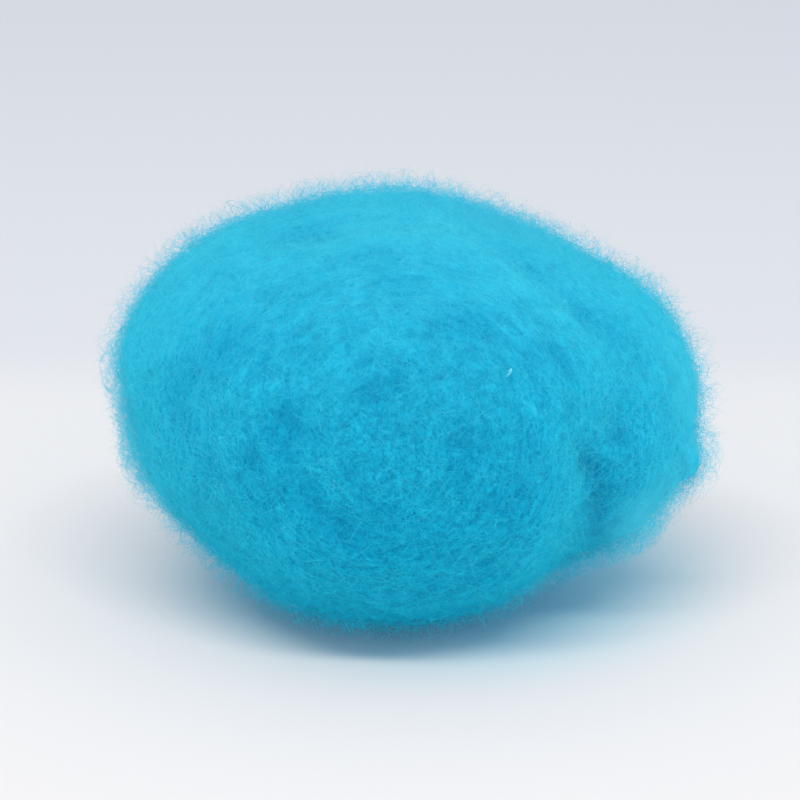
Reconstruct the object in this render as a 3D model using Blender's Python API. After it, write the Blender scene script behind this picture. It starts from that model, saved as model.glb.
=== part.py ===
"""A hand-formed lump of carded wool: loose fleece gathered into a flattened ball.

Metres, +Z up, +X to the right, +Y away from the side that is shown. The lump rests on its own small
flat spot at z = 0, under the middle of its outline.
"""

import math
from collections import namedtuple

import bpy
import bmesh
from mathutils import Vector, noise

MM = 0.001

# Driving sizes
WIDTH = 109 * MM
FLAT_CUT = 2.4 * MM          # how far the weight presses the round underside in
ROUNDNESS = 2.12             # 2 is an ellipse in each section, and more is boxier
GRID = 26                    # squares along each edge of the cube that becomes the ball

# Each section stands across the width, at a share of half the width. The centre is its place, and
# the half sizes are those of the ball before it narrows towards its two ends, all in millimetres.
Section = namedtuple("Section", "station centre_depth centre_height half_depth half_height")
SECTIONS = tuple(Section(*row) for row in (
    (-1.00, 1.0, 43.0, 43.0, 37.5),
    (-0.82, 0.8, 42.4, 44.0, 38.0),
    (-0.64, 0.5, 41.1, 45.0, 38.5),
    (-0.36, 0.0, 38.8, 46.0, 39.5),
    (0.00, 0.0, 38.5, 46.0, 39.5),
    (0.36, 0.3, 39.2, 45.0, 36.7),
    (0.64, 1.0, 39.3, 43.0, 35.0),
    (0.82, 1.5, 39.6, 41.5, 35.3),
    (1.00, 1.5, 39.0, 40.5, 36.5),
))

# The outer layer of fleece wraps the back and the right of the lump. Its edge runs over the top and
# down the front right as a soft furrow, with the fleece bulging on both sides of it. Each row is a
# place on the furrow, with its depth and its reach to each side there, all in millimetres.
FurrowPlace = namedtuple("FurrowPlace", "x y z depth reach")
FURROW = tuple(FurrowPlace(*row) for row in (
    (-25.0, -6.0, 74.0, 0.6, 5.5),
    (-17.0, -8.0, 76.0, 1.9, 5.5),
    (-8.0, -8.0, 77.0, 1.0, 5.0),
    (10.0, -7.0, 76.0, 0.7, 5.0),
    (23.0, -16.0, 69.0, 1.0, 5.0),
    (31.5, -20.5, 63.0, 1.1, 5.0),
    (38.0, -23.5, 56.0, 1.1, 5.0),
    (39.0, -28.5, 48.0, 1.8, 5.5),
    (36.0, -33.0, 41.0, 3.4, 6.0),
    (34.5, -32.5, 33.0, 4.2, 6.0),
    (32.5, -29.0, 24.0, 3.8, 6.0),
    (29.0, -21.0, 15.0, 2.2, 6.0),
    (26.0, -12.0, 7.0, 0.6, 6.0),
))
BULGE_SHARE = 0.3            # height of the bulge beside the furrow, as a share of its depth
BULGE_OFFSET = 2.1           # its distance from the furrow's middle, in reaches of the furrow
BULGE_REACH = 1.2            # its own reach, in reaches of the furrow

# Hollows and tufts of the surface, in millimetres. A tuft has a negative depth.
Hollow = namedtuple("Hollow", "x y z depth reach")
HOLLOWS = tuple(Hollow(*row) for row in (
    (-42.0, -26.0, 44.0, 1.0, 8.0),
    (-33.0, -32.0, 29.0, 0.8, 6.0),
    (-20.0, -42.0, 39.0, 0.8, 6.0),
    (12.0, -44.0, 36.0, 0.8, 6.0),
    (20.0, -39.0, 25.0, 0.8, 6.0),
    (-12.0, -36.0, 18.0, 0.8, 6.0),
    (51.0, -11.0, 28.0, -3.2, 6.5),
    (46.0, -14.0, 17.0, 1.6, 6.5),
    (28.0, 30.0, 58.0, 1.2, 8.0),
    (-30.0, 33.0, 40.0, 1.4, 9.0),
    (8.0, 43.0, 34.0, 1.0, 8.0),
    (40.0, 24.0, 30.0, -1.2, 8.0),
    (-10.0, 30.0, 68.0, -1.0, 9.0),
))

# Slow unevenness of loose fleece, in millimetres: the spacing of its swells and their height
Swell = namedtuple("Swell", "spacing height")
SWELLS = (Swell(26.0, 1.0), Swell(13.0, 0.55))

WOOL_COLOUR = (0.040, 0.500, 0.750, 1.0)
WOOL_ROUGHNESS = 0.95


def clear_scene():
    for item in list(bpy.data.objects):
        bpy.data.objects.remove(item, do_unlink=True)


def section_at(station):
    """The section at a station of the width, on a smooth curve through the table's rows."""
    last = len(SECTIONS) - 1
    low = 0
    while low < last - 1 and SECTIONS[low + 1].station < station:
        low += 1
    before, start, end, after = (SECTIONS[min(max(low + k, 0), last)] for k in (-1, 0, 1, 2))
    span = end.station - start.station
    share = (station - start.station) / span
    values = [station]
    for column in range(1, len(start)):
        lead_in = (end[column] - before[column]) / (end.station - before.station) * span
        lead_out = (after[column] - start[column]) / (after.station - start.station) * span
        rise = end[column] - start[column]
        curve = 3 * rise - 2 * lead_in - lead_out
        bend = lead_in + lead_out - 2 * rise
        values.append(start[column] + share * (lead_in + share * (curve + share * bend)))
    return Section(*values)


def even_ball(corner):
    """A point on the cube's surface, moved to the unit ball so that the squares stay alike."""
    x, y, z = (value * value for value in corner)
    return Vector((
        corner.x * math.sqrt(1 - y / 2 - z / 2 + y * z / 3),
        corner.y * math.sqrt(1 - z / 2 - x / 2 + z * x / 3),
        corner.z * math.sqrt(1 - x / 2 - y / 2 + x * y / 3),
    ))


def lump_point(direction):
    """Where a point of the unit ball lies on the plain lump."""
    section = section_at(direction.x)
    across = math.hypot(direction.y, direction.z)
    boxed = 1.0
    if across > 0:
        shares = abs(direction.y / across) ** ROUNDNESS + abs(direction.z / across) ** ROUNDNESS
        boxed = shares ** (-1 / ROUNDNESS)
    return Vector((
        direction.x * WIDTH / 2,
        (section.centre_depth + section.half_depth * boxed * direction.y) * MM,
        (section.centre_height + section.half_height * boxed * direction.z) * MM,
    ))


def falloff(distance, reach):
    return math.exp(-((distance / reach) ** 2))


def furrow_depth(point):
    """How deep the furrow is at a point, or how far the fleece beside it bulges, as a negative."""
    nearest = None
    for start, end in zip(FURROW, FURROW[1:]):
        first = Vector((start.x, start.y, start.z)) * MM
        along = Vector((end.x, end.y, end.z)) * MM - first
        share = min(max((point - first).dot(along) / along.length_squared, 0.0), 1.0)
        distance = (point - first - along * share).length
        if nearest is None or distance < nearest[0]:
            depth = start.depth + (end.depth - start.depth) * share
            reach = start.reach + (end.reach - start.reach) * share
            nearest = (distance, depth * MM, reach * MM)
    distance, depth, reach = nearest
    bulge = BULGE_SHARE * falloff(distance - BULGE_OFFSET * reach, BULGE_REACH * reach)
    return depth * (falloff(distance, reach) - bulge)


def hollow_depth(point):
    total = 0.0
    for hollow in HOLLOWS:
        distance = (point - Vector((hollow.x, hollow.y, hollow.z)) * MM).length
        total += hollow.depth * MM * falloff(distance, hollow.reach * MM)
    return total


def swell_height(point):
    """The slow unevenness at a point. Each set of swells reads its own stretch of the noise."""
    return sum(
        swell.height * MM * noise.noise(point / (swell.spacing * MM) + Vector((swell.spacing, 0, 0)))
        for swell in SWELLS
    )


def ball_of_squares():
    mesh = bmesh.new()
    bmesh.ops.create_cube(mesh, size=2.0)
    bmesh.ops.subdivide_edges(mesh, edges=mesh.edges[:], cuts=GRID - 1, use_grid_fill=True)
    for vertex in mesh.verts:
        vertex.co = lump_point(even_ball(vertex.co))
    return mesh


def evened(mesh, depths):
    """Each vertex's depth, averaged with those around it, so that no step is sharper than a square."""
    means = []
    for vertex in mesh.verts:
        around = [depths[edge.other_vert(vertex).index] for edge in vertex.link_edges]
        means.append((depths[vertex.index] + sum(around) / len(around)) / 2)
    return means


def shape_surface(mesh):
    """Adds the furrow, hollows, tufts and swells, each along the plain lump's own normal."""
    mesh.normal_update()
    mesh.verts.index_update()
    depths = [
        furrow_depth(vertex.co) + hollow_depth(vertex.co) - swell_height(vertex.co)
        for vertex in mesh.verts
    ]
    for vertex, depth in zip(mesh.verts, evened(mesh, evened(mesh, depths))):
        vertex.co = vertex.co - vertex.normal * depth


def centre_outline(mesh):
    """Puts the middle of the outline over the origin, seen from above."""
    for axis in (0, 1):
        values = [vertex.co[axis] for vertex in mesh.verts]
        middle = (min(values) + max(values)) / 2
        for vertex in mesh.verts:
            vertex.co[axis] -= middle


def press_flat(mesh):
    """Cuts the round underside off level at z = 0 and closes it with one flat face."""
    lowest = min(vertex.co.z for vertex in mesh.verts)
    for vertex in mesh.verts:
        vertex.co.z -= lowest + FLAT_CUT
    everything = mesh.verts[:] + mesh.edges[:] + mesh.faces[:]
    bmesh.ops.bisect_plane(
        mesh, geom=everything, dist=1e-6, plane_co=(0, 0, 0), plane_no=(0, 0, 1), clear_inner=True
    )
    rim = [edge for edge in mesh.edges if edge.is_boundary]
    bmesh.ops.contextual_create(mesh, geom=rim)
    bmesh.ops.recalc_face_normals(mesh, faces=mesh.faces[:])


def wool_material():
    material = bpy.data.materials.new("turquoise_wool")
    material.use_nodes = True
    shader = material.node_tree.nodes["Principled BSDF"]
    shader.inputs["Base Color"].default_value = WOOL_COLOUR
    shader.inputs["Roughness"].default_value = WOOL_ROUGHNESS
    shader.inputs["Metallic"].default_value = 0.0
    return material


def make_wool(collection):
    mesh = ball_of_squares()
    shape_surface(mesh)
    centre_outline(mesh)
    press_flat(mesh)
    data = bpy.data.meshes.new("wool")
    mesh.to_mesh(data)
    mesh.free()
    data.materials.append(wool_material())
    data.shade_smooth()
    data.set_sharp_from_angle(angle=math.radians(30))
    wool = bpy.data.objects.new("wool", data)
    collection.objects.link(wool)
    return wool


def main():
    clear_scene()
    collection = bpy.data.collections.new("carded_wool")
    bpy.context.scene.collection.children.link(collection)
    make_wool(collection)


main()
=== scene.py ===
"""The looks of a hand-formed lump of carded wool: turquoise fleece, with its fibres and its soft fuzz.

Metres, in the frame's own axes: +Z up, +X to the right, +Y away from the side that is shown.
"""

import math
from collections import namedtuple

import bmesh
import bpy
import numpy as np
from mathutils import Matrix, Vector, noise
from mathutils.bvhtree import BVHTree


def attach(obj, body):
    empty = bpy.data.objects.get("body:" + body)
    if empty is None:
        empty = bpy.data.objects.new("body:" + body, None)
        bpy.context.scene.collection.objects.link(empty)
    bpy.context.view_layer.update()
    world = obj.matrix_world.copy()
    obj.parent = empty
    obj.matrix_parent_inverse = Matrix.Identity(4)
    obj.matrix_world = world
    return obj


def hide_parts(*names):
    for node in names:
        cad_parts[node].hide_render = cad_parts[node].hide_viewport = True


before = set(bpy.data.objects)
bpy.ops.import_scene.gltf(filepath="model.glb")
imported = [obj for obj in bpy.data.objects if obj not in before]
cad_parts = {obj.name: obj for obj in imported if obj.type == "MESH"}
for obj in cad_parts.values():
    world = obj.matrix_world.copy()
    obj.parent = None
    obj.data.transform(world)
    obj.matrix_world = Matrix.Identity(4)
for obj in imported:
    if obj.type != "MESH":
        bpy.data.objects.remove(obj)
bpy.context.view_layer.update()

MM = 0.001
ROOT = "root"

# The photograph's view
PHOTO_SIDE = 800                        # pixels
FOCAL_PX = 3273.0
SENSOR = 36.0
VIEW_ELEVATION = math.radians(20.0)
VIEW_DISTANCE = 0.60
AIM = Vector((-0.9 * MM, 0.0, 38.3 * MM))

# The lump's body
BODY_GRID = 92                          # squares along each edge of the cube that becomes the ball
HEART = Vector((0.0, 0.0, 38.0 * MM))   # the point that the whole surface looks out from
INSET = 1.8 * MM                        # how far the matted body lies under the solid's surface

# The fleece is wound round this axis, which comes out of the front lobe. Close to the axis its fibres
# lie every way, and further off they follow the winding.
WINDING_AXIS = Vector((-0.04, -0.985, 0.17)).normalized()


def smooth_step(low, high, value):
    share = np.clip((value - low) / (high - low), 0.0, 1.0)
    return share * share * (3 - 2 * share)


# Body

def even_ball(corner):
    """A point on the cube's surface, moved to the unit ball so that the squares stay alike."""
    x, y, z = (value * value for value in corner)
    return Vector((
        corner.x * math.sqrt(1 - y / 2 - z / 2 + y * z / 3),
        corner.y * math.sqrt(1 - z / 2 - x / 2 + z * x / 3),
        corner.z * math.sqrt(1 - x / 2 - y / 2 + x * y / 3),
    ))


def solid_surface():
    """The CAD solid's surface, smoothed between its facets, to cast rays at."""
    mesh = bmesh.new()
    mesh.from_mesh(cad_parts["wool"].data)
    bmesh.ops.remove_doubles(mesh, verts=mesh.verts[:], dist=1e-6)
    data = bpy.data.meshes.new("solid_copy")
    mesh.to_mesh(data)
    mesh.free()
    copy = bpy.data.objects.new("solid_copy", data)
    bpy.context.scene.collection.objects.link(copy)
    subdivision = copy.modifiers.new("smooth", "SUBSURF")
    subdivision.levels = 1
    subdivision.render_levels = 1
    tree = BVHTree.FromObject(copy, bpy.context.evaluated_depsgraph_get())
    bpy.data.objects.remove(copy)
    return tree


# Relief of the fleece that is finer than the solid's, in millimetres. A fold runs through its places
# on the surface: a groove has a depth, and a ridge has a negative one.
Fold = namedtuple("Fold", "depth reach places")
FOLDS = (
    # The edge of the outer layer, as a soft ridge over the top and down to the right
    Fold(-0.5, 3.2, (
        (-28.9, 3.9, 71.7), (-18.5, -12.2, 72.8), (-8.5, -10.4, 74.4), (0.5, -15.8, 75.1),
        (9.5, -12.4, 74.3), (16.6, -16.7, 70.8), (21.7, -21.6, 67.3), (30.0, -21.7, 61.8),
        (36.2, -23.4, 54.8), (38.9, -24.3, 49.4),
    )),
    # The groove behind that ridge
    Fold(0.4, 3.0, (
        (6.9, -7.6, 75.2), (15.0, -8.9, 72.7), (22.0, -13.5, 69.1), (29.8, -18.0, 63.5),
        (36.8, -20.4, 56.9), (41.3, -21.9, 50.0),
    )),
    # Streaks beside each other in front of it
    Fold(0.35, 2.3, ((6.6, -30.5, 67.5), (14.5, -32.7, 63.5), (22.4, -33.8, 58.5), (26.8, -34.8, 53.2))),
    Fold(0.4, 2.0, ((19.8, -26.5, 66.1), (25.1, -29.2, 61.4), (27.7, -31.2, 57.5), (30.1, -33.7, 50.6))),
    # The crease beside the front lobe, with a shallow groove to its right and a ridge to its left
    Fold(1.35, 1.6, (
        (30.8, -34.1, 43.4), (32.6, -30.7, 36.5), (34.6, -28.3, 30.8), (34.0, -26.6, 25.4),
        (32.9, -17.5, 14.6),
    )),
    Fold(0.4, 2.4, ((38.5, -25.5, 47.6), (38.0, -27.3, 42.7), (37.3, -28.4, 38.6))),
    Fold(-0.3, 1.8, ((29.1, -36.1, 44.1), (30.5, -32.7, 35.4), (30.4, -30.1, 27.8), (28.5, -28.7, 21.5))),
)
FOLD_BREAKS = 9.0     # spacing of the places where a fold grows weaker and stronger
FOLD_TAPER = 0.3      # share of a fold's length over which it rises from nothing at each end

# Single hollows between the tufts
Spot = namedtuple("Spot", "x y z depth reach")
SPOTS = tuple(Spot(*row) for row in (
    (-40.5, -27.6, 48.7, 0.5, 4.0),
    (-33.0, -30.0, 58.0, 0.5, 3.5),
    (-19.1, -41.6, 47.3, 0.7, 3.0),
    (-21.5, -41.0, 50.0, 0.6, 2.6),
    (-4.3, -41.8, 54.8, 0.5, 2.6),
    (1.3, -44.4, 46.5, 0.5, 2.4),
    (11.0, -43.2, 44.6, 0.7, 3.0),
    (9.7, -34.6, 63.2, 0.5, 3.4),
    (-9.1, -45.3, 42.3, 0.5, 2.4),
    (-34.4, -33.8, 37.3, 0.5, 3.0),
    (-26.7, -39.5, 41.0, 0.5, 2.4),
    (-17.0, -43.5, 35.9, 0.5, 2.4),
    (-2.1, -45.8, 32.6, 0.5, 2.6),
    (18.0, -42.2, 33.6, 0.7, 3.8),
    (-10.3, -45.1, 29.5, 0.75, 3.4),
    (-6.5, -46.1, 37.0, 0.4, 2.2),
    (31.9, -18.8, 61.8, 0.6, 2.4),
    (47.6, -19.4, 41.0, 0.4, 3.0),
    (35.0, -27.5, 28.0, 0.6, 2.6),
    (-17.6, -6.9, 73.0, 0.6, 4.0),
    (-5.4, -19.1, 73.8, 0.4, 2.8),
    (20.4, -41.0, 45.9, 0.4, 2.4),
    (28.0, 30.0, 56.0, 0.8, 3.6),
    (-12.0, 41.0, 45.0, 0.8, 3.4),
    (-34.0, 28.0, 44.0, 0.9, 4.0),
    (8.0, 43.0, 30.0, 0.7, 3.2),
    (41.0, 20.0, 42.0, 0.8, 3.6),
    (-48.0, 8.0, 47.0, 0.7, 3.4),
))

# Where the matted body lies deeper, under a veil of loose fibres, or stands out, with a negative depth
VEILS = tuple(Spot(*row) for row in (
    (-54.0, -4.0, 37.0, 4.0, 8.5),
    (-50.0, -6.0, 21.0, -1.2, 7.0),
    (-46.0, 2.0, 60.0, -0.3, 9.0),
    (44.0, 0.0, 64.0, -0.4, 9.0),
    (54.0, -4.0, 40.0, -0.7, 8.0),
    (14.0, 8.0, 75.0, 2.2, 9.0),
    (24.0, 8.0, 70.0, 1.3, 9.0),
    (53.5, -8.0, 28.5, -2.0, 4.2),
    (51.5, -10.0, 23.5, 0.9, 3.0),
    (43.0, -13.0, 17.0, -2.4, 6.5),
))

# A place on the surface, the reach of what is there, in millimetres, and its share at its middle
Place = namedtuple("Place", "x y z reach share")

# Where the colour gets painted light, as if light came through thinner fleece, as on the locks that stand
# out
GLOW_PLACES = tuple(Place(*row) for row in (
    (44.5, -18.0, 21.0, 8.0, 0.6),
    (53.0, -8.0, 29.0, 7.0, 0.25),
    (51.0, -6.0, 42.0, 10.0, 0.25),
    (-54.0, -4.0, 37.0, 10.0, 0.35),
    (-48.0, -10.0, 22.0, 9.0, 0.2),
))

# Tufts all over, and the curls by which they and the spots are bent out of shape, in millimetres
Tufting = namedtuple("Tufting", "spacing height seed")
TUFTS = (Tufting(8.0, 0.5, 0.0), Tufting(3.6, 0.7, 40.0), Tufting(1.8, 0.55, 80.0))
WARP = Tufting(6.0, 1.8, 20.0)
SEED_STEP = 100.0             # between the seeds of the warp's three directions
TUFT_TOP = 0.12               # the tufts are level on top, at this share of their height
DRAWN_OUT = 2.2               # how many times longer the tufts are along the winding than across it
SPOTS_DRAWN_OUT = 1.7         # the same for the spots
MEAN_RADIUS = 45.0 * MM       # of the lump
MOST_ORDER = 0.75             # how far the tufts follow the winding, at the most
SMOOTHER_AWAY = 0.55          # share by which the tufts are lower round the rim of the side that is shown

# A share rises from 0 to 1 over each of these spans. The first three are of off_the_axis.
ORDER_SPAN = (-0.15, 0.75)    # the tufts' order along the winding
HEADING_SPAN = (0.1, 0.95)    # the fibres' order along the winding
RIM_SPAN = (0.45, 0.9)        # the smoothness round the rim
SHOWN_SPAN = (0.5, -0.3)      # from behind to the side that is shown, as y over the mean radius
HOLLOW_SPAN = (-0.45 * MM, 1.05 * MM)   # depth of the relief
FLAT_FADE = 4 * MM            # height over which the relief rises from nothing above the flat spot


def falloff(distance, reach):
    return np.exp(-((distance / (reach * MM)) ** 2))


def noise_at(places, spacing, seed=0.0):
    """Soft noise, from about -1 to 1, at each place. Its swells are a spacing apart, in millimetres."""
    offset = Vector((seed, 0.0, 0.0))
    return np.array([noise.noise(Vector(place) / (spacing * MM) + offset) for place in places])


def off_the_axis(points):
    """How far each point looks away from the winding's axis: 0 at the front lobe, 1 all around it."""
    outs = points - np.array(HEART)
    outs /= np.linalg.norm(outs, axis=1, keepdims=True)
    return np.linalg.norm(np.cross(outs, np.array(WINDING_AXIS)), axis=1)


def winding_order(points):
    """How far the tufts follow the winding at each point: least at the front lobe, most around it."""
    return MOST_ORDER * smooth_step(*ORDER_SPAN, off_the_axis(points))


def combed_places(points):
    """The points, closer together along the winding, so that noise is drawn out when it is read there."""
    axis = np.array(WINDING_AXIS)
    outs = points - np.array(HEART)
    along = outs @ axis
    across = outs - along[:, None] * axis
    arc = np.arctan2(np.linalg.norm(across, axis=1), along) * MEAN_RADIUS
    return across / DRAWN_OUT + arc[:, None] * axis


def warped(points):
    """The points moved a little this way and that, so that what is read there has uneven forms."""
    moves = [noise_at(points, WARP.spacing, WARP.seed + axis * SEED_STEP) for axis in range(3)]
    return points + WARP.height * MM * np.stack(moves, axis=1)


def fold_depth(points):
    """How deep the folds are at each point, or how high, as a negative."""
    total = np.zeros(len(points))
    for fold in FOLDS:
        places = np.array(fold.places) * MM
        nearest = np.full(len(points), np.inf)
        progress = np.zeros(len(points))
        for index, (start, end) in enumerate(zip(places, places[1:])):
            along = end - start
            share = np.clip((points - start) @ along / (along @ along), 0.0, 1.0)
            distance = np.linalg.norm(points - start - share[:, None] * along, axis=1)
            progress = np.where(distance < nearest, (index + share) / (len(places) - 1), progress)
            nearest = np.minimum(nearest, distance)
        taper = smooth_step(0.0, FOLD_TAPER, np.minimum(progress, 1 - progress))
        total += fold.depth * MM * taper * falloff(nearest, fold.reach)
    return total * (1 + noise_at(points, FOLD_BREAKS))


def spot_depth(points, spots, drawn_out=1.0):
    """How deep the spots are at each point. They may be longer along the winding than across it."""
    total = np.zeros(len(points))
    for spot in spots:
        middle = np.array((spot.x, spot.y, spot.z)) * MM
        ahead = np.cross(WINDING_AXIS, middle - np.array(HEART))
        ahead /= np.linalg.norm(ahead)
        offset = points - middle
        offset += (1 / drawn_out - 1) * (offset @ ahead)[:, None] * ahead
        total += spot.depth * MM * falloff(np.linalg.norm(offset, axis=1), spot.reach)
    return total


def tuft_height(points):
    """How far loose tufts stand out at each point."""
    total = np.zeros(len(points))
    order = winding_order(points)
    curly = warped(points)
    combed = combed_places(curly)
    for tufting in TUFTS:
        loose = noise_at(curly, tufting.spacing, tufting.seed)
        drawn = noise_at(combed, tufting.spacing, tufting.seed)
        heights = loose + order * (drawn - loose)
        total += tufting.height * MM * np.minimum(heights, TUFT_TOP)
    shown = smooth_step(*SHOWN_SPAN, points[:, 1] / MEAN_RADIUS)
    return total * (1 - SMOOTHER_AWAY * shown * smooth_step(*RIM_SPAN, off_the_axis(points)))


def relief_depth(points):
    """The whole fine relief at each point, which fades out at the flat spot."""
    spots = spot_depth(warped(points), SPOTS, SPOTS_DRAWN_OUT)
    depth = fold_depth(points) + spots - tuft_height(points)
    return depth * np.clip(points[:, 2] / FLAT_FADE, 0.0, 1.0)


def hollowness(points):
    """How hollow the surface is at each point, from 0 on its tufts to 1 in its deep places, which sets the
    painted shade there.
    """
    return smooth_step(*HOLLOW_SPAN, relief_depth(points))


def shares_near(points, places):
    """The places' shares at each point, added up."""
    total = np.zeros(len(points))
    for place in places:
        distance = np.linalg.norm(points - np.array((place.x, place.y, place.z)) * MM, axis=1)
        total += place.share * falloff(distance, place.reach)
    return total


def glow_share(points):
    """How much painted light each point gets, from 0 to 1, where the fleece is thinner and light would come
    through it.
    """
    return np.minimum(shares_near(points, GLOW_PLACES), 1.0)


def note_shares(data, name, shares):
    """Keeps a share for each point on the mesh, for its material to read."""
    attribute = data.attributes.new(name, "FLOAT", "POINT")
    attribute.data.foreach_set("value", shares.astype(np.float32))


def note_places(data, name, places):
    """Keeps a place for each point on the mesh, for its material to read."""
    attribute = data.attributes.new(name, "FLOAT_VECTOR", "POINT")
    attribute.data.foreach_set("vector", places.astype(np.float32).ravel())


def make_body():
    """The matted fleece: a ball of squares cast onto the solid's surface, then sunk and given its relief."""
    solid = solid_surface()
    mesh = bmesh.new()
    bmesh.ops.create_cube(mesh, size=2.0)
    bmesh.ops.subdivide_edges(mesh, edges=mesh.edges[:], cuts=BODY_GRID - 1, use_grid_fill=True)
    chart = mesh.loops.layers.uv.new("OFBake")
    for face in mesh.faces:
        lay_on_chart(face, chart)
    for vertex in mesh.verts:
        direction = even_ball(vertex.co).normalized()
        vertex.co = solid.ray_cast(HEART, direction)[0]
    mesh.normal_update()
    points = np.array([vertex.co for vertex in mesh.verts])
    normals = np.array([vertex.normal for vertex in mesh.verts])
    inward = INSET + spot_depth(points, VEILS) + relief_depth(points)
    places = points - normals * inward[:, None]
    places[:, 2] = np.maximum(places[:, 2], 0.0)
    for vertex, place in zip(mesh.verts, places):
        vertex.co = place
    data = bpy.data.meshes.new("wool_body")
    mesh.to_mesh(data)
    mesh.free()
    # Shares for the painted shade in the hollows and the painted light where the fleece is thinner
    note_shares(data, "hollow", hollowness(points))
    note_shares(data, "thin_glow", glow_share(points))
    note_shares(data, "winding", winding_order(points))
    note_places(data, "combed", combed_places(points))
    data.shade_smooth()
    return add_piece("wool_body", data, body_material())


CHART_MARGIN = 0.01   # kept clear round the edge of each sixth of the map, as a share of it


def lay_on_chart(face, chart):
    """Gives each side of the cube its own sixth of the bake's map, three across and two up."""
    middle = face.calc_center_median()
    axis = max(range(3), key=lambda k: abs(middle[k]))
    column = axis
    row = 1 if middle[axis] > 0 else 0
    across, along = (k for k in range(3) if k != axis)
    for loop in face.loops:
        corner = loop.vert.co
        u = CHART_MARGIN + (1 - 2 * CHART_MARGIN) * (corner[across] + 1) / 2
        v = CHART_MARGIN + (1 - 2 * CHART_MARGIN) * (corner[along] + 1) / 2
        loop[chart].uv = ((column + u) / 3, (row + v) / 2)


def add_piece(name, data, material):
    """A piece of the wool, which rides on the one body and wears the one slot."""
    data.materials.append(material)
    piece = bpy.data.objects.new(name, data)
    bpy.context.scene.collection.objects.link(piece)
    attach(piece, ROOT)
    return piece


# Fibres

def surface_of(piece):
    return BVHTree.FromObject(piece, bpy.context.evaluated_depsgraph_get())


def seed_places(piece, count, chance, rng):
    """Places on the body, spread by area times a chance from 0 to 1 that depends on the place."""
    mesh = piece.data
    mesh.calc_loop_triangles()
    corners = np.empty(len(mesh.loop_triangles) * 3, np.int32)
    mesh.loop_triangles.foreach_get("vertices", corners)
    points = np.empty(len(mesh.vertices) * 3)
    mesh.vertices.foreach_get("co", points)
    triangles = points.reshape(-1, 3)[corners.reshape(-1, 3)]
    middles = triangles.mean(1)
    sides = np.cross(triangles[:, 1] - triangles[:, 0], triangles[:, 2] - triangles[:, 0])
    weights = np.linalg.norm(sides, axis=1) * chance(middles)
    chosen = rng.choice(len(triangles), size=count, p=weights / weights.sum())
    shares = rng.dirichlet((1.0, 1.0, 1.0), size=count)
    return (triangles[chosen] * shares[:, :, None]).sum(1)


def walk(tree, start, heading, turns, step):
    """A path along the surface from start: its points and the surface's normal at each."""
    points = []
    normals = []
    place = Vector(start)
    for turn in turns:
        place, normal = tree.find_nearest(place)[:2]
        heading = (heading - normal * heading.dot(normal)).normalized()
        points.append(place)
        normals.append(normal)
        side = normal.cross(heading)
        heading = (heading + side * turn).normalized()
        place = place + heading * step
    return points, normals


def winding_heading(place, normal, rng, spread):
    """A direction along the surface: round the winding, or any way close to its axis."""
    out = (place - HEART).normalized()
    along = WINDING_AXIS.cross(out)
    far = min(max(along.length, 0.0), 1.0)
    along = along.normalized()
    order = smooth_step(*HEADING_SPAN, far)
    angle = rng.normal(0.0, 1.0) * spread * order + rng.uniform(-1.0, 1.0) * math.pi * (1 - order)
    along = (along - normal * along.dot(normal)).normalized()
    heading = along * math.cos(angle) + normal.cross(along) * math.sin(angle)
    return heading * rng.choice((-1.0, 1.0))


def fibre_paths(tree, starts, kind, rng):
    """The centre lines of fibres of one kind, as arrays of points and of surface normals."""
    steps = kind["steps"]
    paths = np.empty((len(starts), steps + 1, 3))
    outs = np.empty_like(paths)
    lengths = rng.uniform(*kind["length"], size=len(starts)) * MM
    bends = rng.normal(0.0, kind["bend"], size=len(starts))
    wobbles = rng.normal(0.0, kind["wobble"], size=(len(starts), steps + 1))
    for index, start in enumerate(starts):
        place, normal = tree.find_nearest(Vector(start))[:2]
        heading = winding_heading(place, normal, rng, kind["spread"])
        step = lengths[index] / steps
        turns = (bends[index] + wobbles[index]) * step / MM
        paths[index], outs[index] = walk(tree, place, heading, turns, step)
    return paths, outs, lengths


LYING_RISE = 0.6        # a fibre's height over its length: 1 would be even, and less rises sooner
STANDING_RISE = 0.8
CRIMP_LIFT = 0.5        # crimp up and down, as a share of the crimp from side to side
CRIMP_LIFT_RATE = 0.9   # how often it goes up and down for each time that it goes from side to side
CRIMP_LIFT_PHASE = 1.3


def crimped(paths, outs, lengths, kind, rng):
    """The paths with their crimp, and with the height at which each fibre lies or stands."""
    count, points = paths.shape[:2]
    share = np.linspace(0.0, 1.0, points)[None, :]
    ahead = np.gradient(paths, axis=1)
    ahead /= np.linalg.norm(ahead, axis=2, keepdims=True)
    side = np.cross(outs, ahead)
    pitch = rng.uniform(*kind["crimp_pitch"], size=(count, 1)) * MM
    phase = rng.uniform(0.0, 2 * math.pi, size=(count, 1))
    wave = 2 * math.pi * lengths[:, None] * share / pitch + phase
    swing = rng.uniform(*kind["crimp"], size=(count, 1)) * MM
    low, high = kind["height"]
    peak = rng.uniform(0.0, 1.0, size=(count, 1)) ** kind["height_bias"] * (high - low) + low
    rise = np.sin(math.pi * share) ** LYING_RISE if kind["lies"] else share ** STANDING_RISE
    height = kind["sunk"] + (peak - kind["sunk"]) * rise
    lift = height * MM + swing * CRIMP_LIFT * np.cos(wave * CRIMP_LIFT_RATE + CRIMP_LIFT_PHASE) * rise
    return paths + side * (swing * np.sin(wave))[..., None] + outs * lift[..., None]


TIP_THICKNESS = 0.35     # share of its full thickness that a fibre has close to its ends
TIP_GROWTH = 3.0         # how fast that share grows inwards, for one whole length of the fibre
LEAST_HEIGHT = 0.05 * MM   # of a fibre above the flat spot's level


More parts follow.
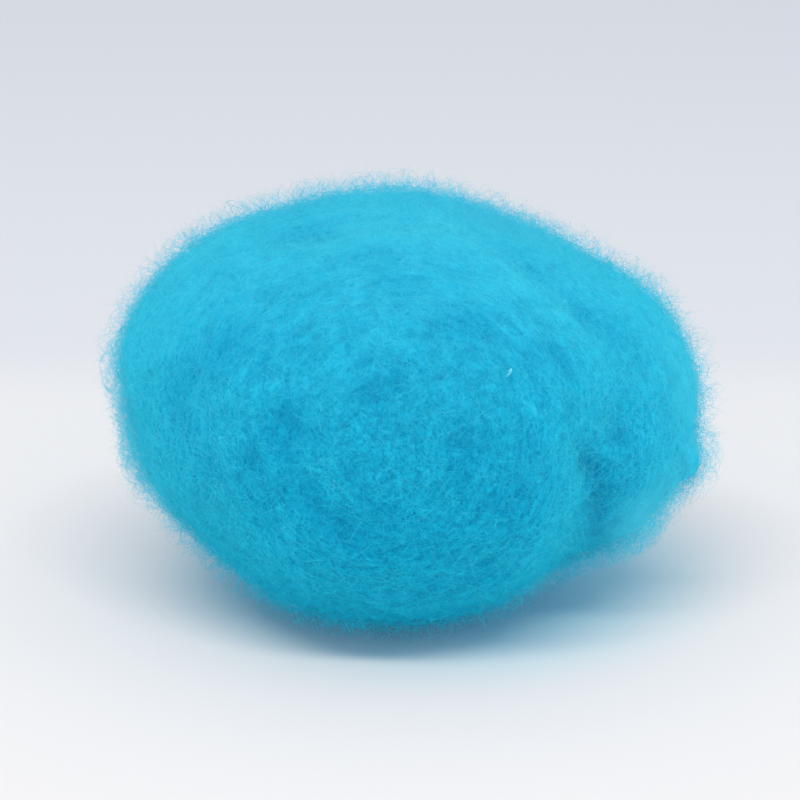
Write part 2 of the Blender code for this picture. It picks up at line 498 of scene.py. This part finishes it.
def tube_mesh(name, paths, outs, thickness, flatness):
    """One mesh of closed three-sided fibres, each drawn out to a point at both ends.

    Flatness is how far a fibre shades as the lump's surface does under it, rather than as a round thread.
    """
    count, points = paths.shape[:2]
    rings = points - 2
    ahead = np.gradient(paths, axis=1)
    ahead /= np.linalg.norm(ahead, axis=2, keepdims=True)
    side = np.cross(outs, ahead)
    side /= np.linalg.norm(side, axis=2, keepdims=True)
    up = np.cross(ahead, side)
    share = np.linspace(0.0, 1.0, points)[1:-1]
    swell = np.minimum(1.0, TIP_THICKNESS + TIP_GROWTH * np.minimum(share, 1 - share))
    radius = thickness[:, None] / 2 * swell[None, :]
    corners = np.empty((count, rings, 3, 3))
    rounds = np.empty((count, rings, 3, 3))
    for corner in range(3):
        angle = math.pi / 2 + corner * 2 * math.pi / 3
        offset = side[:, 1:-1] * math.cos(angle) + up[:, 1:-1] * math.sin(angle)
        corners[:, :, corner] = paths[:, 1:-1] + offset * radius[..., None]
        rounds[:, :, corner] = offset * (1 - flatness) + outs[:, 1:-1] * flatness
    per_fibre = rings * 3 + 2
    vertices = np.empty((count, per_fibre, 3))
    vertices[:, :-2] = corners.reshape(count, -1, 3)
    vertices[:, -2] = paths[:, 0]
    vertices[:, -1] = paths[:, -1]
    vertices[..., 2] = np.maximum(vertices[..., 2], LEAST_HEIGHT)
    first = np.arange(count)[:, None, None] * per_fibre
    quads, quad_places = tube_sides(rings)
    tips, tip_places = tube_tips(rings)
    faces = (first + quads).reshape(-1, 4).tolist() + (first + tips).reshape(-1, 3).tolist()
    data = bpy.data.meshes.new(name)
    data.from_pydata(vertices.reshape(-1, 3).tolist(), [], faces)
    lay_in_cells(data, count, quad_places, tip_places)
    data.shade_smooth()
    normals = np.empty((count, per_fibre, 3))
    normals[:, :-2] = rounds.reshape(count, -1, 3)
    normals[:, -2] = outs[:, 0]
    normals[:, -1] = outs[:, -1]
    data.normals_split_custom_set_from_vertices(normals.reshape(-1, 3).tolist())
    # Shares for the painted shade in the hollows and the painted light where the fleece is thinner, read at
    # each fibre's middle
    note_shares(data, "hollow", np.repeat(hollowness(paths[:, points // 2]), per_fibre))
    note_shares(data, "thin_glow", np.repeat(glow_share(paths[:, points // 2]), per_fibre))
    return data


def tube_sides(rings):
    """A fibre's four-cornered faces, and where their corners lie on its own strip of the map."""
    faces = []
    places = []
    for ring in range(rings - 1):
        for corner in range(3):
            after = (corner + 1) % 3
            faces.append((ring * 3 + corner, ring * 3 + after, ring * 3 + 3 + after, ring * 3 + 3 + corner))
            places.append([
                (corner / 3, (ring + 1) / (rings + 1)), ((corner + 1) / 3, (ring + 1) / (rings + 1)),
                ((corner + 1) / 3, (ring + 2) / (rings + 1)), (corner / 3, (ring + 2) / (rings + 1)),
            ])
    return np.array(faces, int).reshape(-1, 4), np.array(places).reshape(-1, 4, 2)


def tube_tips(rings):
    """A fibre's faces at its two drawn-out ends, with their places on its strip of the map."""
    faces = []
    places = []
    root, end, last = rings * 3, rings * 3 + 1, rings * 3 - 3
    for corner in range(3):
        after = (corner + 1) % 3
        middle = (corner + 0.5) / 3
        faces.append((after, corner, root))
        places.append([((corner + 1) / 3, 1 / (rings + 1)), (corner / 3, 1 / (rings + 1)), (middle, 0.0)])
        faces.append((last + corner, last + after, end))
        places.append([
            (corner / 3, rings / (rings + 1)), ((corner + 1) / 3, rings / (rings + 1)), (middle, 1.0),
        ])
    return np.array(faces), np.array(places)


CELL_MARGIN = 0.06    # kept clear round the edge of each fibre's cell of the map, as a share of it


def lay_in_cells(data, count, quad_places, tip_places):
    """Gives each fibre its own cell of the bake's map."""
    across = math.ceil(math.sqrt(count))
    cells = np.stack([np.arange(count) % across, np.arange(count) // across], 1)

    def placed(places):
        inner = CELL_MARGIN + (1 - 2 * CELL_MARGIN) * places
        return ((cells[:, None, None, :] + inner[None]) / across).reshape(-1, 2)

    chart = data.uv_layers.new(name="OFBake", do_init=False)
    spots = np.concatenate([placed(quad_places), placed(tip_places)])
    chart.uv.foreach_set("vector", spots.astype(np.float32).ravel())


# Kinds of fibre, in millimetres. A fibre's bend and wobble are its turns along the surface, in radians a
# millimetre, and spread is how far it strays from the winding, in radians. Its ends are at the height
# sunk, or only its root where it doesn't lie, and a higher height_bias leaves more fibres low.
STRANDS = {
    "steps": 6, "length": (5.0, 9.0), "bend": 0.08, "wobble": 0.15, "spread": 0.6,
    "crimp_pitch": (2.6, 4.0), "crimp": (0.05, 0.2), "height": (0.4, 2.2), "height_bias": 1.0,
    "sunk": -0.15, "lies": True, "thickness": (0.04, 0.08), "flatness": 0.4, "shadow": False, "count": 4000,
}
NAP_LOW = dict(
    STRANDS, steps=3, length=(2.0, 3.8), bend=0.3, wobble=0.35, spread=0.85, crimp=(0.0, 0.1),
    height=(0.10, 1.2), thickness=(0.07, 0.13), flatness=0.5, shadow=True, count=9000,
)
NAP_HIGH = dict(
    NAP_LOW, length=(2.4, 4.4), height=(0.3, 2.6), height_bias=1.4, thickness=(0.04, 0.07), flatness=0.3,
    shadow=False, count=13500,
)
DOWN = dict(
    NAP_HIGH, steps=2, length=(1.4, 2.8), bend=0.2, wobble=0.2, spread=1.3, height=(0.3, 2.4),
    height_bias=1.0, lies=False, thickness=(0.035, 0.055), flatness=0.1, count=13500,
)
LOOPS = dict(
    NAP_HIGH, steps=5, length=(4.0, 8.0), bend=0.14, wobble=0.2, spread=0.9, height=(0.8, 5.2),
    height_bias=1.5, crimp=(0.0, 0.15), thickness=(0.026, 0.040), flatness=0.1, count=7500,
)
FUZZ = dict(
    DOWN, length=(2.4, 5.0), bend=0.12, wobble=0.12, height=(0.5, 6.6), height_bias=1.8,
    thickness=(0.026, 0.040), count=28000,
)
EDGE = dict(
    STRANDS, length=(6.0, 10.0), spread=0.3, height=(1.0, 3.0), thickness=(0.04, 0.07), count=320,
)
WISP = dict(
    STRANDS, length=(4.0, 8.0), bend=0.10, wobble=0.16, spread=0.6, crimp=(0.05, 0.2), height=(1.5, 4.8),
    thickness=(0.024, 0.038), flatness=0.0, count=1900,
)
PALE = dict(
    STRANDS, steps=4, length=(1.0, 1.1), bend=0.0, wobble=0.0, spread=0.0, crimp=(0.0, 0.0),
    height=(2.2, 2.4), thickness=(0.38, 0.42), count=1,
)

# Where single fibres stand off in wisps, in millimetres: above all as a thin veil on the left
WISPS = tuple(Place(*row) for row in (
    (-53.0, -6.0, 39.0, 4.5, 1.6),
    (-52.0, -6.0, 31.0, 4.5, 1.6),
    (45.0, -21.0, 24.0, 4.0, 1.1),
    (43.0, -14.0, 17.0, 4.0, 1.1),
    (38.0, -14.0, 13.0, 3.0, 0.8),
    (15.0, 4.0, 75.0, 5.5, 1.0),
    (24.0, 6.0, 71.0, 4.5, 0.8),
    (-11.0, 10.0, 75.0, 3.0, 0.3),
    (-10.0, -29.0, 8.0, 3.0, 0.4),
    (30.0, -12.0, 11.0, 3.0, 0.4),
    (-20.0, -24.0, 7.0, 3.0, 0.3),
    (53.0, -8.0, 28.0, 3.0, 0.5),
    (-20.0, 42.0, 50.0, 5.0, 0.4),
    (35.0, 30.0, 40.0, 5.0, 0.4),
))
# Along the edge of the outer layer, over the top and down to the right
EDGE_PLACES = tuple(Place(*row) for row in (
    (-28.9, 3.9, 71.7, 3.0, 0.5),
    (-8.5, -10.4, 74.4, 3.0, 0.7),
    (0.5, -15.8, 75.1, 3.0, 1.0),
    (9.5, -12.4, 74.3, 3.0, 1.0),
    (21.7, -21.6, 67.3, 3.0, 0.8),
    (30.0, -21.7, 61.8, 3.0, 0.8),
    (36.2, -23.4, 54.8, 3.0, 0.8),
    (7.0, -33.0, 65.0, 4.0, 0.6),
    (26.0, -33.0, 55.0, 4.0, 0.7),
    (31.0, -34.0, 46.0, 3.0, 0.8),
    (29.5, -31.5, 32.0, 3.0, 0.6),
))
PALE_PLACE = Place(17.4, -37.4, 56.4, 0.3, 1.0)

# The share of the places that have fibres rises over these spans of height. The haze also grows thicker
# over a span of off_the_axis.
FIBRES_BEGIN = (0.6 * MM, 5 * MM)
HAZE_BEGINS = (2 * MM, 14 * MM)
HAZE_LOW_DOWN = 0.45     # share of the haze where it begins
HAZE_SPAN = (0.4, 0.9)
HAZE_ON_LOBES = 0.35     # share of the haze close to the winding's axis


def above_the_flat(places):
    """Fewer fibres close to the floor, and none on the flat spot."""
    return smooth_step(*FIBRES_BEGIN, places[:, 2])


def haze_spread(places):
    """The haze is thicker all around the lump than on its front and back lobes, and thinner low down."""
    around = HAZE_ON_LOBES + (1 - HAZE_ON_LOBES) * smooth_step(*HAZE_SPAN, off_the_axis(places))
    up = HAZE_LOW_DOWN + (1 - HAZE_LOW_DOWN) * smooth_step(*HAZE_BEGINS, places[:, 2])
    return above_the_flat(places) * around * up


def close_to(wisps):
    """The chance of a fibre near each of the given places."""
    def chance(places):
        return shares_near(places, wisps)
    return chance


def make_fibres(name, body, kind, seed, material, chance):
    """A piece of fibres of one kind, which start on the body by chance. Each piece has its own draws."""
    rng = np.random.default_rng(seed)
    tree = surface_of(body)
    starts = seed_places(body, kind["count"], chance, rng)
    paths, outs, lengths = fibre_paths(tree, starts, kind, rng)
    paths = crimped(paths, outs, lengths, kind, rng)
    thickness = rng.uniform(*kind["thickness"], size=kind["count"]) * MM
    piece = add_piece(name, tube_mesh(name, paths, outs, thickness, kind["flatness"]), material)
    piece.visible_shadow = kind["shadow"]


# Materials

def material_nodes(name):
    material = bpy.data.materials.new(name)
    material.use_nodes = True
    tree = material.node_tree
    return material, tree, tree.nodes["Principled BSDF"]


def attribute_node(tree, name):
    node = tree.nodes.new("ShaderNodeAttribute")
    node.attribute_name = name
    return node


def place_node(tree):
    """The node that gives the place on the object, of which a tree has one."""
    node = tree.nodes.get("place")
    if node is None:
        node = tree.nodes.new("ShaderNodeTexCoord")
        node.name = "place"
    return node


def share_node(tree, source, span, smooth=False):
    """How far the source has come along a span, from 0 to 1."""
    node = tree.nodes.new("ShaderNodeMapRange")
    node.inputs["From Min"].default_value = span[0]
    node.inputs["From Max"].default_value = span[1]
    if smooth:
        node.interpolation_type = "SMOOTHSTEP"
    tree.links.new(source, node.inputs["Value"])
    return node


def noise_node(tree, scale, detail, roughness=0.6, distortion=0.0):
    node = tree.nodes.new("ShaderNodeTexNoise")
    node.inputs["Scale"].default_value = scale
    node.inputs["Detail"].default_value = detail
    node.inputs["Roughness"].default_value = roughness
    node.inputs["Distortion"].default_value = distortion
    tree.links.new(place_node(tree).outputs["Object"], node.inputs["Vector"])
    return node


def ramp_node(tree, source, stops):
    node = tree.nodes.new("ShaderNodeValToRGB")
    ramp = node.color_ramp
    while len(ramp.elements) < len(stops):
        ramp.elements.new(0.5)
    for element, (place, colour) in zip(ramp.elements, stops):
        element.position = place
        element.color = (*colour, 1.0)
    tree.links.new(source, node.inputs["Fac"])
    return node


def mix_colours(tree, share, first, second, way="MIX"):
    """Mixes two colours. The share and the second colour may be even values, and the rest is linked."""
    node = tree.nodes.new("ShaderNodeMix")
    node.data_type = "RGBA"
    node.blend_type = way
    tree.links.new(first, node.inputs[6])
    if isinstance(second, tuple):
        node.inputs[7].default_value = (*second, 1.0)
    else:
        tree.links.new(second, node.inputs[7])
    if isinstance(share, float):
        node.inputs[0].default_value = share
    else:
        tree.links.new(share, node.inputs[0])
    return node.outputs[2]


# Painted shade, for the gaps between the curly lines in the hollows
SHADE = (0.004, 0.315, 0.55)
# Painted shade in the gaps between the curly lines
GAP_SHADE = (0.008, 0.30, 0.505)
# Painted shade on the curly lines and loose fibres in the hollows
DEEP_SHADE = (0.010, 0.395, 0.65)
# Fainter painted shade in those gaps, higher up
FAINT_GAP_SHADE = (0.028, 0.475, 0.70)
PLAIN = (0.046, 0.555, 0.757)
LIGHT = (0.100, 0.685, 0.845)
HAZE = (0.06, 0.62, 0.82)
BRIGHT_HAZE = (0.13, 0.76, 0.91)
# Painted light, where the fleece is thinner
PAINTED_GLOW_COLOUR = (0.14, 0.80, 0.97)
PALE_BLUE = (0.30, 0.88, 1.0)
SHEEN_TINT = (0.07, 0.8, 1.0, 1.0)

# Painted shade by height: the colour is multiplied by these stops, darker and less red towards the flat
# spot, 0, than at the top, 1
PAINTED_SHADE_BELOW = (
    (0.0, (0.05, 0.93, 1.0)),
    (0.3, (0.24, 0.99, 1.0)),
    (0.6, (0.44, 1.0, 1.0)),
    (1.0, (1.0, 1.0, 1.0)),
)
HAZE_PAINTED_SHADE_BELOW = (
    (0.0, (0.03, 0.93, 1.0)),
    (0.3, (0.65, 1.0, 1.0)),
    (0.6, (0.9, 1.0, 1.0)),
    (1.0, (1.0, 1.0, 1.0)),
)

# Spans of height: of those stops, and over which the painted shade in the gaps between the curly lines grows
# fainter
PAINTED_SHADE_SPAN = (4.0 * MM, 76.0 * MM)
GAP_SHADE_FADE_SPAN = (34.0 * MM, 74.0 * MM)

# The curly lines, and the unevenness along a fibre
GRAIN_SCALE = 1100.0
GRAIN_SPAN = (0.40, 0.60)
UNEVEN_SCALE = 420.0
UNEVEN_TONES = ((0.3, (0.82, 0.88, 0.92)), (0.7, (1.0, 1.0, 1.0)))


def painted_hollow_shade(tree, most):
    """How much painted shade a hollow gets, up to the most it may have."""
    share = share_node(tree, attribute_node(tree, "hollow").outputs["Fac"], (0.0, 1.0))
    share.inputs["To Max"].default_value = most
    return share.outputs["Result"]


def grain(tree):
    """A soft grain of pits, 0, between curly strands, 1, drawn out along the winding as the tufts are."""
    loose = noise_node(tree, GRAIN_SCALE, 3.0, 0.65, 0.8)
    drawn = noise_node(tree, GRAIN_SCALE, 3.0, 0.65, 0.8)
    tree.links.new(attribute_node(tree, "combed").outputs["Vector"], drawn.inputs["Vector"])
    both = tree.nodes.new("ShaderNodeMix")
    tree.links.new(attribute_node(tree, "winding").outputs["Fac"], both.inputs[0])
    tree.links.new(loose.outputs["Fac"], both.inputs[2])
    tree.links.new(drawn.outputs["Fac"], both.inputs[3])
    return share_node(tree, both.outputs[0], GRAIN_SPAN).outputs["Result"]


def height_share(tree, span):
    """How far up a span of height a point of the lump lies, from 0 to 1."""
    parts = tree.nodes.new("ShaderNodeSeparateXYZ")
    tree.links.new(place_node(tree).outputs["Object"], parts.inputs["Vector"])
    return share_node(tree, parts.outputs["Z"], span).outputs["Result"]


def paint_shade_below(tree, colour, stops):
    """Painted shade by height: the colour grows darker and less red towards the underside, as if light had
    come through the fleece to reach it.
    """
    painted_shade = ramp_node(tree, height_share(tree, PAINTED_SHADE_SPAN), stops)
    return mix_colours(tree, 1.0, colour, painted_shade.outputs["Color"], "MULTIPLY")


# Painted light: the colour goes towards a light turquoise where the fleece is thinner.
def paint_glow_where_thin(tree, colour):
    return mix_colours(tree, attribute_node(tree, "thin_glow").outputs["Fac"], colour, PAINTED_GLOW_COLOUR)


def body_material():
    """Matted fleece under the loose fibres: curly lines over gaps with painted shade that is fainter higher
    up, painted shade in its hollows and towards the underside, and painted light where the fleece is
    thinner.
    """
    material, tree, shader = material_nodes("turquoise_fleece")
    lines = grain(tree)
    # Painted shade in the gaps between the curly lines, fainter higher up
    shaded_gaps = ramp_node(tree, lines, ((0.0, GAP_SHADE), (1.0, PLAIN)))
    faintly_shaded_gaps = ramp_node(tree, lines, ((0.0, FAINT_GAP_SHADE), (1.0, PLAIN)))
    up = height_share(tree, GAP_SHADE_FADE_SPAN)
    fleece = mix_colours(tree, up, shaded_gaps.outputs["Color"], faintly_shaded_gaps.outputs["Color"])
    # Painted shade in the hollows
    shade = ramp_node(tree, lines, ((0.0, SHADE), (1.0, DEEP_SHADE)))
    colour = mix_colours(tree, painted_hollow_shade(tree, 0.8), fleece, shade.outputs["Color"])
    # Painted shade towards the underside, and painted light where the fleece is thinner
    colour = paint_glow_where_thin(tree, paint_shade_below(tree, colour, PAINTED_SHADE_BELOW))
    tree.links.new(colour, shader.inputs["Base Color"])
    shader.inputs["Roughness"].default_value = 0.95
    shader.inputs["Specular IOR Level"].default_value = 0.05
    shader.inputs["Sheen Weight"].default_value = 0.45
    shader.inputs["Sheen Tint"].default_value = SHEEN_TINT
    shader.inputs["Subsurface Weight"].default_value = 1.0
    shader.inputs["Subsurface Radius"].default_value = (0.1, 1.0, 1.3)
    shader.inputs["Subsurface Scale"].default_value = 3.0 * MM
    bump = tree.nodes.new("ShaderNodeBump")
    bump.inputs["Strength"].default_value = 0.6
    bump.inputs["Distance"].default_value = 0.2 * MM
    tree.links.new(lines, bump.inputs["Height"])
    tree.links.new(bump.outputs["Normal"], shader.inputs["Normal"])
    return material


def fibre_material(name, dark, light, shade_stops, hollow, sheen):
    """Loose fibres: each of its own tone, a little uneven along its length, with painted shade in the
    hollows and towards the underside, and painted light where the fleece is thinner.
    """
    material, tree, shader = material_nodes(name)
    geometry = tree.nodes.new("ShaderNodeNewGeometry")
    own = ramp_node(tree, geometry.outputs["Random Per Island"], ((0.0, dark), (1.0, light)))
    uneven = noise_node(tree, UNEVEN_SCALE, 2.0)
    toned = ramp_node(tree, uneven.outputs["Fac"], UNEVEN_TONES)
    colour = mix_colours(tree, 1.0, own.outputs["Color"], toned.outputs["Color"], "MULTIPLY")
    # Painted shade in the hollows and towards the underside, and painted light where the fleece is thinner
    colour = mix_colours(tree, painted_hollow_shade(tree, hollow), colour, DEEP_SHADE)
    colour = paint_glow_where_thin(tree, paint_shade_below(tree, colour, shade_stops))
    tree.links.new(colour, shader.inputs["Base Color"])
    shader.inputs["Roughness"].default_value = 0.8
    shader.inputs["Specular IOR Level"].default_value = 0.0
    shader.inputs["Sheen Weight"].default_value = sheen
    shader.inputs["Sheen Roughness"].default_value = 0.5
    shader.inputs["Sheen Tint"].default_value = SHEEN_TINT
    return material


def lying_wool(name, dark, light):
    """The fibres that lie on the body."""
    return fibre_material(name, dark, light, PAINTED_SHADE_BELOW, 0.7, 0.4)


def hazy_wool(name, dark, light):
    """The fibres that stand off, which catch more light at their edges."""
    return fibre_material(name, dark, light, HAZE_PAINTED_SHADE_BELOW, 0.45, 0.6)


# Stage: floor, light and camera

FLOOR_TONES = (
    (0.0, (0.885, 0.828, 0.822)),
    (0.72, (0.848, 0.810, 0.812)),
    (0.97, (0.778, 0.753, 0.780)),
)
TONES_SPAN = (-0.05, 0.155)               # of y, from the front to the back
# Painted cyan light and shade on the floor close to the lump, standing in for light that comes through the
# fleece
PAINTED_FLOOR_GLOW = (0.58, 1.0, 1.12)
PAINTED_GLOW_PLACE = (7.0 * MM, 12.0 * MM, 0.0)
PAINTED_GLOW_SPAN = (20.0 * MM, 60.0 * MM)        # of the distance from that place, over which the glow fades
FLOOR_DROP = 0.05 * MM                    # the floor's distance below the flat spot


def make_floor():
    """A plain pale floor that turns a shade darker a hand's width behind the lump.

    Close to the lump it has painted cyan light and shade, standing in for the light that comes through the
    fleece.
    """
    bpy.ops.mesh.primitive_plane_add(size=8.0, location=(0.0, 0.0, -FLOOR_DROP))
    floor = bpy.context.object
    floor.name = "floor"
    material, tree, shader = material_nodes("pale_floor")
    place = place_node(tree).outputs["Object"]
    parts = tree.nodes.new("ShaderNodeSeparateXYZ")
    tree.links.new(place, parts.inputs["Vector"])
    away = share_node(tree, parts.outputs["Y"], TONES_SPAN)
    tone = ramp_node(tree, away.outputs["Result"], FLOOR_TONES)
    tone.color_ramp.interpolation = "EASE"
    # Painted cyan light and shade, fading with the distance from a place by the lump
    offset = tree.nodes.new("ShaderNodeVectorMath")
    offset.operation = "SUBTRACT"
    offset.inputs[1].default_value = PAINTED_GLOW_PLACE
    tree.links.new(place, offset.inputs[0])
    distance = tree.nodes.new("ShaderNodeVectorMath")
    distance.operation = "LENGTH"
    tree.links.new(offset.outputs["Vector"], distance.inputs[0])
    reach = share_node(tree, distance.outputs["Value"], PAINTED_GLOW_SPAN, smooth=True)
    painted_glow = ramp_node(tree, reach.outputs["Result"], ((0.0, PAINTED_FLOOR_GLOW), (1.0, (1.0, 1.0, 1.0))))
    colour = mix_colours(tree, 1.0, tone.outputs["Color"], painted_glow.outputs["Color"], "MULTIPLY")
    tree.links.new(colour, shader.inputs["Base Color"])
    shader.inputs["Roughness"].default_value = 0.9
    shader.inputs["Specular IOR Level"].default_value = 0.1
    floor.data.materials.append(material)


# Each lamp shines at the lump from its own direction and distance. Its spread is in degrees.
Lamp = namedtuple("Lamp", "name size energy colour direction distance spread")
LAMPS = (
    Lamp("softbox", (1.4, 0.18), 11.5, (1.0, 0.895, 0.79), (-0.05, -0.47, 0.88), 1.4, 180.0),
    Lamp("right_reflector", (1.43, 0.42), 1.20, (1.0, 1.0, 1.0), (1.0, -0.12, 0.10), 2.0, 60.0),
    Lamp("left_reflector", (1.43, 0.42), 0.78, (1.0, 1.0, 1.0), (-1.0, -0.12, 0.10), 2.0, 60.0),
)
ROOM_COLOUR = (0.76, 0.90, 1.0)
ROOM_STRENGTH = 0.75


def hang(lamp):
    """A rectangle of soft light, which the camera doesn't see."""
    light = bpy.data.lights.new(lamp.name, "AREA")
    light.shape = "RECTANGLE"
    light.size, light.size_y = lamp.size
    light.energy = lamp.energy
    light.color = lamp.colour
    light.spread = math.radians(lamp.spread)
    item = bpy.data.objects.new(lamp.name, light)
    direction = Vector(lamp.direction)
    item.location = HEART + direction.normalized() * lamp.distance
    item.rotation_euler = direction.to_track_quat("Z", "Y").to_euler()
    item.visible_camera = False
    bpy.context.scene.collection.objects.link(item)


def make_light():
    """A long soft light overhead, a little to the front, low reflectors at the sides, and a bright room."""
    for lamp in LAMPS:
        hang(lamp)
    world = bpy.data.worlds.new("room")
    world.use_nodes = True
    background = world.node_tree.nodes["Background"]
    background.inputs["Color"].default_value = (*ROOM_COLOUR, 1.0)
    background.inputs["Strength"].default_value = ROOM_STRENGTH
    bpy.context.scene.world = world


def make_camera():
    data = bpy.data.cameras.new("camera")
    data.sensor_width = SENSOR
    data.lens = FOCAL_PX * SENSOR / PHOTO_SIDE
    data.clip_start = 0.01
    camera = bpy.data.objects.new("camera", data)
    back = Vector((0.0, -math.cos(VIEW_ELEVATION), math.sin(VIEW_ELEVATION)))
    camera.location = AIM + back * VIEW_DISTANCE
    camera.rotation_euler = back.to_track_quat("Z", "Y").to_euler()
    bpy.context.scene.collection.objects.link(camera)
    bpy.context.scene.camera = camera


make_camera()
make_floor()
make_light()
bpy.context.scene.view_settings.view_transform = "Standard"

wool_body = make_body()
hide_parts("wool")

# The pieces of fibres, each with its kind, its seed, its material's make, name and two end tones, and the
# chance of a fibre at each place
Layer = namedtuple("Layer", "name kind seed make wool dark light chance")
LAYERS = (
    Layer("nap_low", NAP_LOW, 1, lying_wool, "low_wool", PLAIN, PLAIN, above_the_flat),
    Layer("nap_high", NAP_HIGH, 2, lying_wool, "high_wool", PLAIN, LIGHT, above_the_flat),
    Layer("down", DOWN, 8, hazy_wool, "down_wool", HAZE, BRIGHT_HAZE, haze_spread),
    Layer("loops", LOOPS, 3, hazy_wool, "loop_wool", HAZE, BRIGHT_HAZE, haze_spread),
    Layer("fuzz", FUZZ, 4, hazy_wool, "fuzz_wool", HAZE, BRIGHT_HAZE, haze_spread),
    Layer("strands", STRANDS, 5, lying_wool, "strand_wool", PLAIN, LIGHT, above_the_flat),
    Layer("edge_strands", EDGE, 9, lying_wool, "edge_wool", PLAIN, LIGHT, close_to(EDGE_PLACES)),
    Layer("wisps", WISP, 6, hazy_wool, "wisp_wool", HAZE, BRIGHT_HAZE, close_to(WISPS)),
    Layer("pale_hairs", PALE, 7, hazy_wool, "pale_wool", PALE_BLUE, PALE_BLUE, close_to([PALE_PLACE])),
)
for layer in LAYERS:
    wool = layer.make(layer.wool, layer.dark, layer.light)
    make_fibres(layer.name, wool_body, layer.kind, layer.seed, wool, layer.chance)
